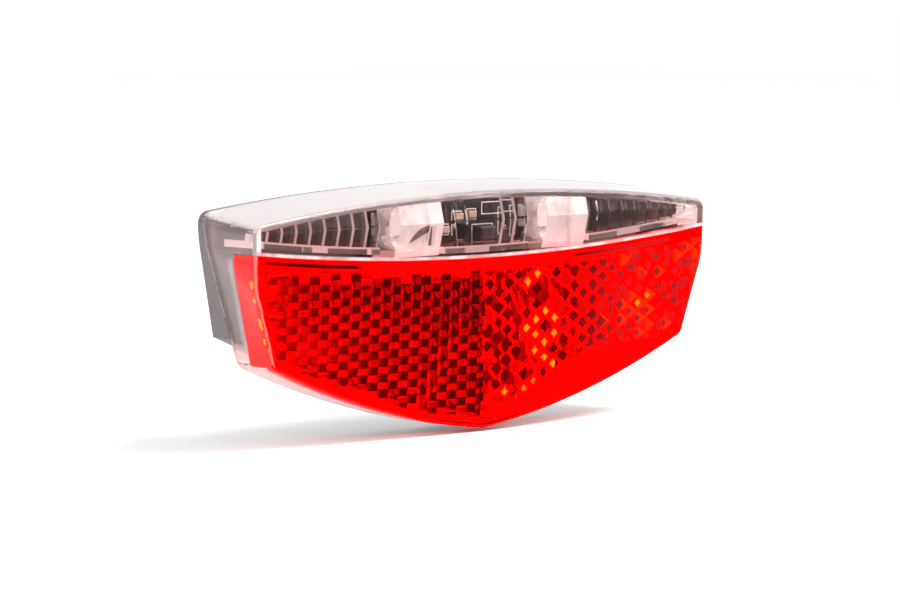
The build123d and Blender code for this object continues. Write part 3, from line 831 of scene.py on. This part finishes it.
def prism_field(name, x_low, x_high, up_low, up_high, turned, rounding):
    """A slab backed by a field of corner cubes between these limits, turned half round or not."""
    side = prism_pitch / sqrt(3)
    edge_step = prism_pitch / sqrt(2) / sqrt(3)
    column = 1.5 * side
    mesh = bmesh.new()
    seen = {}

    def vertex(across, up, behind):
        key = (round(across / mm, 3), round(up / mm, 3), round(behind / mm, 3))
        if key not in seen:
            seen[key] = mesh.verts.new(panel_point(across, up, behind))
        return seen[key]

    first, last = int(x_low / column) - 1, int(x_high / column) + 1
    low, high = int(up_low / prism_pitch) - 1, int(up_high / prism_pitch) + 1
    way = pi if turned else 0.0
    for i in range(first, last + 1):
        for j in range(low, high + 1):
            across = i * column
            up = (j + 0.5 * (i % 2)) * prism_pitch
            rim = []
            for corner in range(6):
                angle = way + corner * pi / 3
                lift = 1 if corner % 2 == 0 else 0
                rim.append((across + side * cos(angle), up + side * sin(angle), lift))
            top = vertex(across, up, panel_wall + 2 * edge_step)
            corners = [vertex(x, z, panel_wall + lift * edge_step) for x, z, lift in rim]
            for k in (0, 2, 4):
                mesh.faces.new((top, corners[k], corners[(k + 1) % 6], corners[(k + 2) % 6]))
    ridges = [edge for edge in mesh.edges if not edge.is_boundary]
    bmesh.ops.bevel(
        mesh, geom=ridges, offset=rounding, segments=1, affect="EDGES", clamp_overlap=True)

    # a skirt round the field ends on a flat foot inside the panel's wall
    border = [edge for edge in mesh.edges if edge.is_boundary]
    low_of = {}
    for edge in border:
        for v in edge.verts:
            if v not in low_of:
                low_of[v] = mesh.verts.new(v.co - panel_back * (behind_front(v.co) - prism_foot))
    for edge in border:
        a, b = edge.verts
        mesh.faces.new((a, b, low_of[b], low_of[a]))
    feet = set(low_of.values())
    foot_edges = [e for e in mesh.edges if e.verts[0] in feet and e.verts[1] in feet]
    bmesh.ops.contextual_create(mesh, geom=foot_edges)
    bmesh.ops.recalc_face_normals(mesh, faces=mesh.faces)
    return written(name, mesh)


def room_block(name, x_low, x_high, up_low, up_high):
    """A block on the panel between these limits."""
    mesh = bmesh.new()
    corners = [
        mesh.verts.new(panel_point(x, up, behind))
        for behind in (0, room_depth)
        for x, up in ((x_low, up_low), (x_high, up_low), (x_high, up_high), (x_low, up_high))
    ]
    rings = ((0, 1, 2, 3), (4, 5, 6, 7), (0, 1, 5, 4), (1, 2, 6, 5), (2, 3, 7, 6), (3, 0, 4, 7))
    for ring in rings:
        mesh.faces.new([corners[k] for k in ring])
    bmesh.ops.recalc_face_normals(mesh, faces=mesh.faces)
    return written(name, mesh)


def red_material(face):
    """The material of one of the reflector's faces."""
    behind = behind_front(face.center)
    facing = face.normal.dot(panel_back)
    if facing < flat_facing and behind < flat_depth:
        return red_face
    on_prisms = behind > panel_wall + prism_lift and abs(face.center.x) < prism_reach
    if facing > prism_facing and on_prisms:
        return red_plastic
    if behind < rim_depth and rim_facing[0] < facing < rim_facing[1]:
        # the side edge's faces carry the painted highlight
        on_side = facing > edge_facing and abs(face.normal.z) < edge_slope
        return red_edge_highlight if on_side else red_rim
    return red_moulding


def painted(piece, mades, chosen):
    """Give each face of the piece the material that is chosen for it."""
    piece.data.materials.clear()
    for made in mades:
        piece.data.materials.append(made)
    for face in piece.data.polygons:
        face.material_index = mades.index(chosen(face))


def reflector():
    """The red reflector with its prisms, cut to the back plate's outline, as one piece."""
    lens = mesh_object("reflector_lens", nodes["red_reflector"].data.copy())
    up_low = (red_low.z - lean_start) / cos(lean_angle)
    up_high = (red_high.z - lean_start) / cos(lean_angle)
    halves = [
        prism_field("prisms_left", red_low.x, 0, up_low, up_high, False, left_rounding),
        prism_field("prisms_right", 0, red_high.x, up_low, up_high, True, right_rounding),
    ]
    rooms = [
        room_block("room_left", red_low.x, 0, up_low, up_high),
        room_block("room_right", 0, red_high.x, up_low, up_high),
    ]
    outline = mesh_object("prism_outline", nodes["reflector_back_plate"].data.copy())
    plate_middle = plate_front + plate_wall / 2
    for v in outline.data.vertices:
        v.co += panel_back * (behind_front(v.co) - plate_middle) * outline_stretch
    for half, room in zip(halves, rooms):
        joined(half, room, "INTERSECT")
        joined(half, outline, "INTERSECT")
        joined(lens, half, "UNION")
    for extra in halves + rooms + [outline]:
        bpy.data.objects.remove(extra)
    painted(lens, [red_plastic, red_moulding, red_face, red_edge_highlight, red_rim], red_material)
    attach(lens, "lamp")
    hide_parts("red_reflector")


def dressed(node, name, mades, chosen):
    """A copy of a node's mesh, with a material for each face."""
    piece = mesh_object(name, nodes[node].data.copy())
    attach(piece, "lamp")
    painted(piece, mades, chosen)
    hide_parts(node)


# How the faces of the cover and the guide stand: flat in front, on the rounded front edge,
# square to the front, square to an axis, and facing up
flat_front = -0.985
round_edge = -0.15
square_to_front = 0.97
square = 0.9
upward = 0.7

# Faces of the cover, in millimetres: its rim, rounded front edge, rear lip, top and right end
rim_top = red_foot + 0.6
front_edge_depth = 0.8
front_depth = 0.3
rear_lip_depth = -8.0
lip_height = 11.0
ceiling_height = 13.0
ceiling_right = -8.0
right_end = 58.0
side_start = 50.0


def cover_material(face):
    """Clear walls, a hazy top, edges made milky and pale as painted highlights, and a pink rim
    under the reflector.
    """
    normal, middle = face.normal, face.center / mm
    behind = middle.y - front / mm
    if middle.z < rim_top:
        return clear_rim
    if behind < front_edge_depth and flat_front < normal.y < round_edge:
        return clear_edge_highlight
    if abs(normal.y) > square_to_front and middle.y > rear_lip_depth:
        return clear_lip
    if normal.z < -square and middle.z < lip_height and abs(middle.x) < right_end:
        return clear_edge_highlight
    if normal.z > upward:
        return clear_top
    if normal.z < -square and middle.z > ceiling_height and middle.x < ceiling_right:
        return clear_ceiling
    if middle.x > right_end:
        return clear_edge_highlight
    if abs(normal.x) > square and abs(middle.x) > side_start:
        return clear_side
    if normal.y < flat_front and behind < front_depth:
        return clear_front
    return clear_plastic


# Faces of the light guide, in millimetres: its right end, its feet and half its shelf's height
guide_end = 53.0
guide_foot = 56.0
shelf_half_height = 0.75


def guide_material(face):
    """Clear walls, with bright steps and ends, and a strip along the shelf's front."""
    normal, middle = face.normal, face.center / mm
    if normal.x < -square or middle.x > guide_end:
        return guide_frost
    if abs(normal.z) > square and abs(middle.x) > guide_foot:
        return guide_frost
    shelf_top = shelf_middle + shelf_end_rise * (middle.x / shelf_half) ** 2 + shelf_half_height
    if normal.y < -square and middle.z < shelf_top:
        return shelf_strip
    return guide_plastic


reflector()
cover_mades = [clear_plastic, clear_top, clear_edge_highlight, clear_rim, clear_front, clear_ceiling,
               clear_lip, clear_side]
dressed("clear_cover", "cover_shell", cover_mades, cover_material)
guide_mades = [guide_plastic, guide_frost, shelf_strip]
dressed("light_guide", "guide_ribs", guide_mades, guide_material)


def floor():
    """Pale floor under the object."""
    mesh = bmesh.new()
    low = cad_box[0][2] - floor_drop
    corners = ((-1, -1), (1, -1), (1, 1), (-1, 1))
    mesh.faces.new([mesh.verts.new((x * floor_half, y * floor_half, low)) for x, y in corners])
    ground = written("floor", mesh)
    ground.data.materials.append(plain("floor", floor_colour, floor_colour, 0.9, 0.02, 20))


def studio():
    """World with an even light, white behind the object and in its reflections."""
    world = bpy.data.worlds.new("studio")
    bpy.context.scene.world = world
    world.use_nodes = True
    tree = world.node_tree
    backdrop = tree.nodes["Background"]
    backdrop.inputs["Color"].default_value = (1.0, 1.0, 1.0, 1.0)
    path = tree.nodes.new("ShaderNodeLightPath")
    kinds = ("Is Camera Ray", "Is Glossy Ray", "Is Transmission Ray")
    seen = largest([Field(tree, path.outputs[kind]) for kind in kinds])
    feed(backdrop, "Strength", seen.spread(world_light, 1.0))


def lamp(name, place, size, power):
    """A soft square lamp that faces the object."""
    light = bpy.data.lights.new(name, "AREA")
    light.size = size
    light.energy = power
    holder = bpy.data.objects.new(name, light)
    bpy.context.scene.collection.objects.link(holder)
    holder.location = place
    holder.rotation_euler = (-Vector(place)).to_track_quat("-Z", "Y").to_euler()


def dark_card(name, place, width, height, facing):
    """A dark card that only reflections and refractions see."""
    mesh = bmesh.new()
    bmesh.ops.create_grid(mesh, x_segments=1, y_segments=1, size=0.5)
    card = written(name, mesh)
    card.location = place
    card.scale = (width, height, 1.0)
    card.rotation_euler = Vector(facing).to_track_quat("Z", "Y").to_euler()
    card.visible_camera = False
    card.visible_diffuse = False
    card.visible_shadow = False
    card.data.materials.append(felt)
    return card


felt = plain("flag felt", (0.01, 0.01, 0.01), (0.02, 0.02, 0.02), 0.9, 0.02, 200)
dark_card("flag_upright", *upright_card)
flat = dark_card("flag_flat", *flat_card)
flat.rotation_euler = (0.0, 0.0, flat_card_turn)

floor()
studio()
for name, place, size, power in lamps:
    lamp(name, place, size, power)

camera = bpy.data.objects.new("camera", bpy.data.cameras.new("camera"))
bpy.context.scene.collection.objects.link(camera)
bpy.context.scene.camera = camera
camera.data.lens = camera_lens
camera.data.sensor_width = sensor_width
away = Vector((
    sin(camera_azimuth) * cos(camera_elevation),
    -cos(camera_azimuth) * cos(camera_elevation),
    sin(camera_elevation),
))
camera.location = camera_target + away * camera_distance
camera.rotation_euler = (-away).to_track_quat("-Z", "Y").to_euler()

settings = bpy.context.scene.view_settings
settings.view_transform = "Standard"
